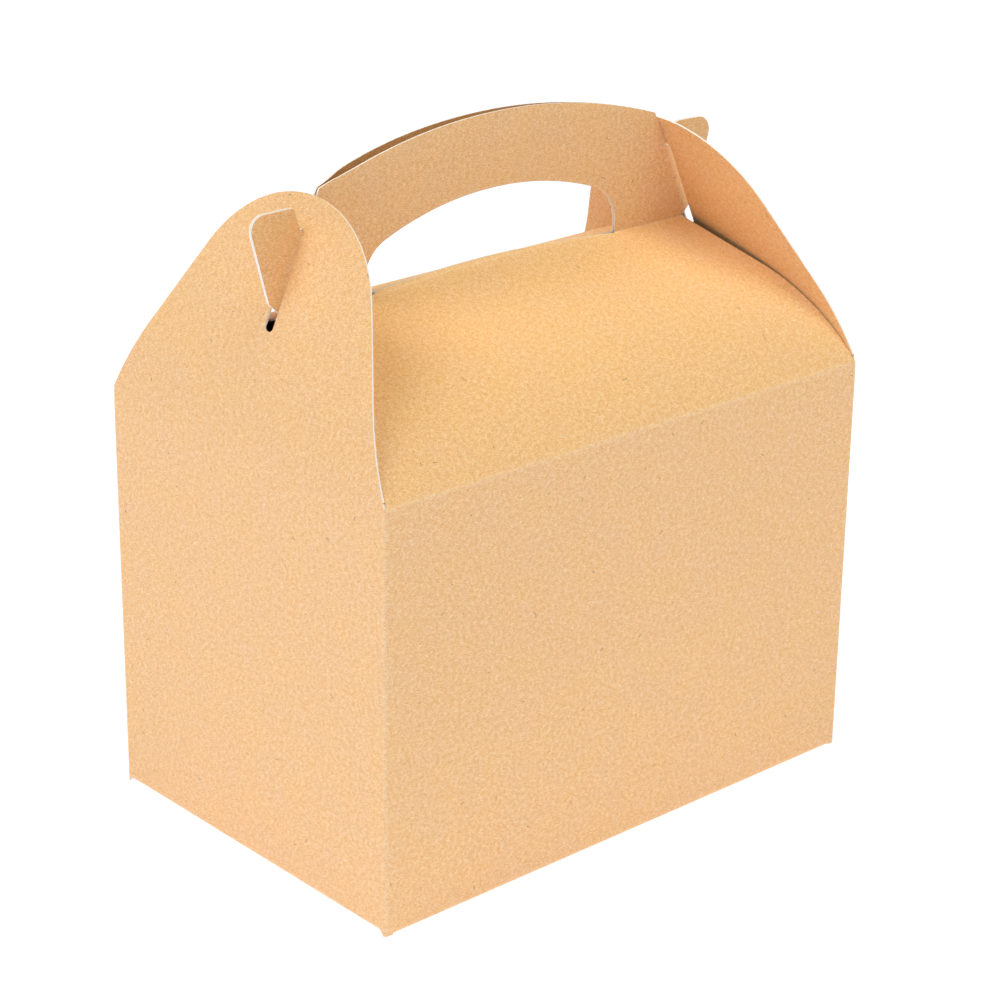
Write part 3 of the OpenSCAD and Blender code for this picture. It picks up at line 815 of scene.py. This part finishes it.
def flecks(s, vector, cell, length, width, share, shift):
    """Mask of short straight fibres, at most one to a cell, each lying its own way."""
    moved = s.mapped(vector, shift=shift)
    cells = s.node("TexVoronoi", {"Vector": moved, "Scale": 1 / cell, "Randomness": 1.0},
                   voronoi_dimensions="2D", feature="F1")
    away = s.node("VectorMath", {0: moved, 1: cells.outputs["Position"]}, operation="SUBTRACT")
    chance = s.node("SeparateColor", {"Color": cells.outputs["Color"]})
    way = s.math("MULTIPLY", chance.outputs[0], 6.283)
    turned = s.node("VectorRotate", {"Vector": away.outputs[0], "Angle": way},
                    rotation_type="Z_AXIS").outputs[0]
    axes = s.node("SeparateXYZ", {"Vector": turned})
    along = s.math("ABSOLUTE", axes.outputs[0])
    bow = s.math("MULTIPLY", s.math("MULTIPLY", axes.outputs[0], axes.outputs[0]), 0.25)
    across = s.math("ABSOLUTE", s.math("ADD", axes.outputs[1], bow))
    reach = s.math("MULTIPLY_ADD", chance.outputs[1], 0.6 * length, 0.4 * length)
    body = s.math("MULTIPLY", s.spread(s.math("SUBTRACT", reach, along), 0, 0.25 * length),
                  s.spread(across, width, 0.35 * width))
    there = s.math("LESS_THAN", chance.outputs[2], share)
    return s.math("MULTIPLY", body, there)


# Colour of the board at the darkest and at the palest of its mottling
BOARD_DARK = (0.83, 0.440, 0.156)
BOARD_PALE = (1.0, 0.700, 0.372)


def board_material():
    """Brown kraft board: felted fibres, soft clouds, stray dark and pale fibres, and worn folds."""
    s = Shader("kraft_board")
    sheet = s.node("Attribute", attribute_name="sheet").outputs["Vector"]
    fold = s.node("Attribute", attribute_name="fold").outputs["Fac"]

    wander = s.node("TexNoise", {"Vector": sheet, "Scale": 0.35, "Detail": 2.0}).outputs["Color"]
    wander = s.node("VectorMath", {0: wander, 1: (0.5, 0.5, 0.5)}, operation="SUBTRACT").outputs[0]
    wander = s.node("VectorMath", {0: wander, "Scale": 1.6}, operation="SCALE").outputs[0]
    bent = s.node("VectorMath", {0: sheet, 1: wander}, operation="ADD").outputs[0]

    felt = None
    for turn in (0.35, 1.25, -0.6):
        strand = s.noise(s.mapped(bent, turn=turn, scale=(1.2, 4.8, 1)), 1.0, 2.0, 0.6)
        felt = strand if felt is None else s.math("MAXIMUM", felt, strand)
    grain = s.noise(sheet, 3.8, 2.0, 0.7)
    clumps = s.noise(sheet, 0.8, 3.0, 0.6)
    clouds = s.noise(sheet, 0.09, 2.0, 0.5)

    tone = s.math("MULTIPLY_ADD", felt, 0.9, s.math("MULTIPLY", grain, 0.7))
    tone = s.math("MULTIPLY_ADD", clumps, 0.3, tone)
    tone = s.spread(tone, 0.91, 1.13)
    colour = s.mix(tone, BOARD_DARK, BOARD_PALE)
    clouded = s.mix(s.spread(clouds, 0.3, 0.7), (0.985, 0.98, 1.03), (1.0, 0.985, 0.96))
    colour = s.mix(1.0, colour, clouded, "MULTIPLY")

    dark = flecks(s, sheet, 14.0, 0.9, 0.15, 0.3, (3.1, 7.7, 0))
    tiny = flecks(s, sheet, 3.4, 0.5, 0.15, 0.3, (31.0, 5.3, 0))
    pale = flecks(s, sheet, 10.0, 0.9, 0.15, 0.3, (17.4, 2.9, 0))
    colour = s.mix(s.math("MULTIPLY", tiny, 0.28), colour, (0.50, 0.27, 0.12))
    colour = s.mix(s.math("MULTIPLY", dark, 0.75), colour, (0.20, 0.11, 0.06))
    colour = s.mix(s.math("MULTIPLY", pale, 0.6), colour, (1.0, 0.86, 0.66))

    worn = s.math("MULTIPLY", fold, s.spread(s.noise(sheet, 1.4, 3.0, 0.6), 0.3, 0.75))
    colour = s.mix(s.math("MULTIPLY", worn, 0.6), colour, (1.0, 0.74, 0.44))

    relief = s.math("MULTIPLY_ADD", felt, 0.5, s.math("MULTIPLY", grain, 0.35))
    relief = s.math("MULTIPLY_ADD", clumps, 0.5, relief)
    bump = s.node("Bump", {"Height": relief, "Strength": 0.22, "Distance": 0.00012}).outputs[0]
    rough = s.spread(tone, 0, 1, 0.74, 0.62)
    shader = s.node("BsdfPrincipled", {"Base Color": colour, "Roughness": rough, "Specular IOR Level": 0.12,
                                       "Normal": bump})
    s.node("OutputMaterial", {"Surface": shader.outputs[0]})
    return s.material


def edge_material():
    """Cut edge of the board: paler, loose fibres in thin layers."""
    s = Shader("kraft_cut_edge")
    sheet = s.node("Attribute", attribute_name="sheet").outputs["Vector"]
    fray = s.noise(s.mapped(sheet, scale=(1, 1, 0.6)), 1.8, 3.0, 0.6)
    colour = s.mix(s.spread(fray, 0.3, 0.7), (0.97, 0.88, 0.74), (1.0, 0.97, 0.90))
    bump = s.node("Bump", {"Height": fray, "Strength": 0.3, "Distance": 0.00015}).outputs[0]
    shader = s.node("BsdfPrincipled", {"Base Color": colour, "Roughness": 0.85, "Specular IOR Level": 0.2,
                                       "Normal": bump})
    s.node("OutputMaterial", {"Surface": shader.outputs[0]})
    return s.material


def link(name, data):
    """Adds data to the scene as an object."""
    made = bpy.data.objects.new(name, data)
    bpy.context.scene.collection.objects.link(made)
    return made


carton = link("folded_carton", board_mesh("folded_carton"))
carton.data.materials.append(board_material())
carton.data.materials.append(edge_material())
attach(carton, "root")
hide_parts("carton")

# Camera, from a fit to the carton's corners and gables in the photograph
CAMERA_PLACE = Vector((-495.77, -554.03, 384.76)) * MM
CAMERA_AZIMUTH = math.radians(-42.044)
CAMERA_ELEVATION = math.radians(22.176)
CAMERA_ROLL = math.radians(0.763)
camera_data = bpy.data.cameras.new("camera")
camera_data.sensor_width = 36.0
camera_data.lens = 104.32
camera_data.shift_y = -0.0026
camera_data.clip_start = 0.01
camera = link("camera", camera_data)
camera.matrix_world = (
    Matrix.Translation(CAMERA_PLACE)
    @ Matrix.Rotation(CAMERA_AZIMUTH, 4, "Z")
    @ Matrix.Rotation(math.pi / 2 - CAMERA_ELEVATION, 4, "X")
    @ Matrix.Rotation(CAMERA_ROLL, 4, "Z")
)
bpy.context.scene.camera = camera


FLOOR_HALF = 4.0
FLOOR_Z = -1e-4
# Share of plain white in the floor as the camera sees it
FLOOR_WHITE = 0.72
# Light that the white floor gives from below, as a light table does
FLOOR_GLOW = (0.64, 0.71, 1.03)


def floor_material():
    """White floor: it shows as white, and keeps a soft share of the object's shadow."""
    s = Shader("white_floor")
    path = s.node("LightPath")
    seen = s.math("MAXIMUM", path.outputs["Is Camera Ray"],
                  s.math("MAXIMUM", path.outputs["Is Glossy Ray"], path.outputs["Is Transmission Ray"]))
    plain = s.node("BsdfDiffuse", {"Color": (0.86, 0.86, 0.86, 1)})
    glow = s.node("Emission", {"Color": (*FLOOR_GLOW, 1), "Strength": 1.0})
    plain = s.node("AddShader", {0: plain.outputs[0], 1: glow.outputs[0]})
    bright = s.node("Emission", {"Color": (1, 1, 1, 1), "Strength": 1.0})
    share = s.math("MULTIPLY", seen, FLOOR_WHITE)
    mixed = s.node("MixShader", {0: share, 1: plain.outputs[0], 2: bright.outputs[0]})
    s.node("OutputMaterial", {"Surface": mixed.outputs[0]})
    return s.material


floor_mesh = bpy.data.meshes.new("floor")
floor_corners = [(x * FLOOR_HALF, y * FLOOR_HALF, FLOOR_Z) for x, y in ((-1, -1), (1, -1), (1, 1), (-1, 1))]
floor_mesh.from_pydata(floor_corners, [], [(0, 1, 2, 3)])
floor = link("floor", floor_mesh)
floor.data.materials.append(floor_material())

SKY = (1.0, 1.0, 1.0)
world = bpy.data.worlds.new("studio")
world.use_nodes = True
nodes, links = world.node_tree.nodes, world.node_tree.links
nodes.clear()
path = nodes.new("ShaderNodeLightPath")
lift = nodes.new("ShaderNodeMath")
lift.operation = "MAXIMUM"
lift_more = nodes.new("ShaderNodeMath")
lift_more.operation = "MAXIMUM"
links.new(path.outputs["Is Camera Ray"], lift.inputs[0])
links.new(path.outputs["Is Glossy Ray"], lift.inputs[1])
links.new(lift.outputs[0], lift_more.inputs[0])
links.new(path.outputs["Is Transmission Ray"], lift_more.inputs[1])
level = nodes.new("ShaderNodeMapRange")
level.inputs["To Min"].default_value = 0.05
level.inputs["To Max"].default_value = 1.0
links.new(lift_more.outputs[0], level.inputs["Value"])
sky = nodes.new("ShaderNodeBackground")
sky.inputs["Color"].default_value = (*SKY, 1)
links.new(level.outputs[0], sky.inputs["Strength"])
links.new(sky.outputs[0], nodes.new("ShaderNodeOutputWorld").inputs["Surface"])
bpy.context.scene.world = world


def softbox(name, place, size, watts, colour=(1, 1, 1), aim=(0, 0, 0.1)):
    """A square lamp that points at the object."""
    data = bpy.data.lights.new(name, "AREA")
    data.size = size
    data.energy = watts
    data.color = colour
    lamp = link(name, data)
    lamp.location = place
    lamp.rotation_euler = (Vector(aim) - Vector(place)).to_track_quat("-Z", "Y").to_euler()
    return lamp


softbox("key", (-1.0, 0.2, 1.7), 1.2, 23, (0.95, 0.96, 1.0))
softbox("top", (0.3, -0.4, 1.9), 1.2, 16.5, (1.0, 1.0, 0.82))
softbox("front", (-0.3, -1.3, 1.5), 1.2, 2.0, (0.75, 0.92, 1.0))
softbox("fill", (1.2, -1.6, 0.7), 1.2, 5.0, (1.0, 0.93, 0.85))

bpy.context.scene.view_settings.view_transform = "Standard"
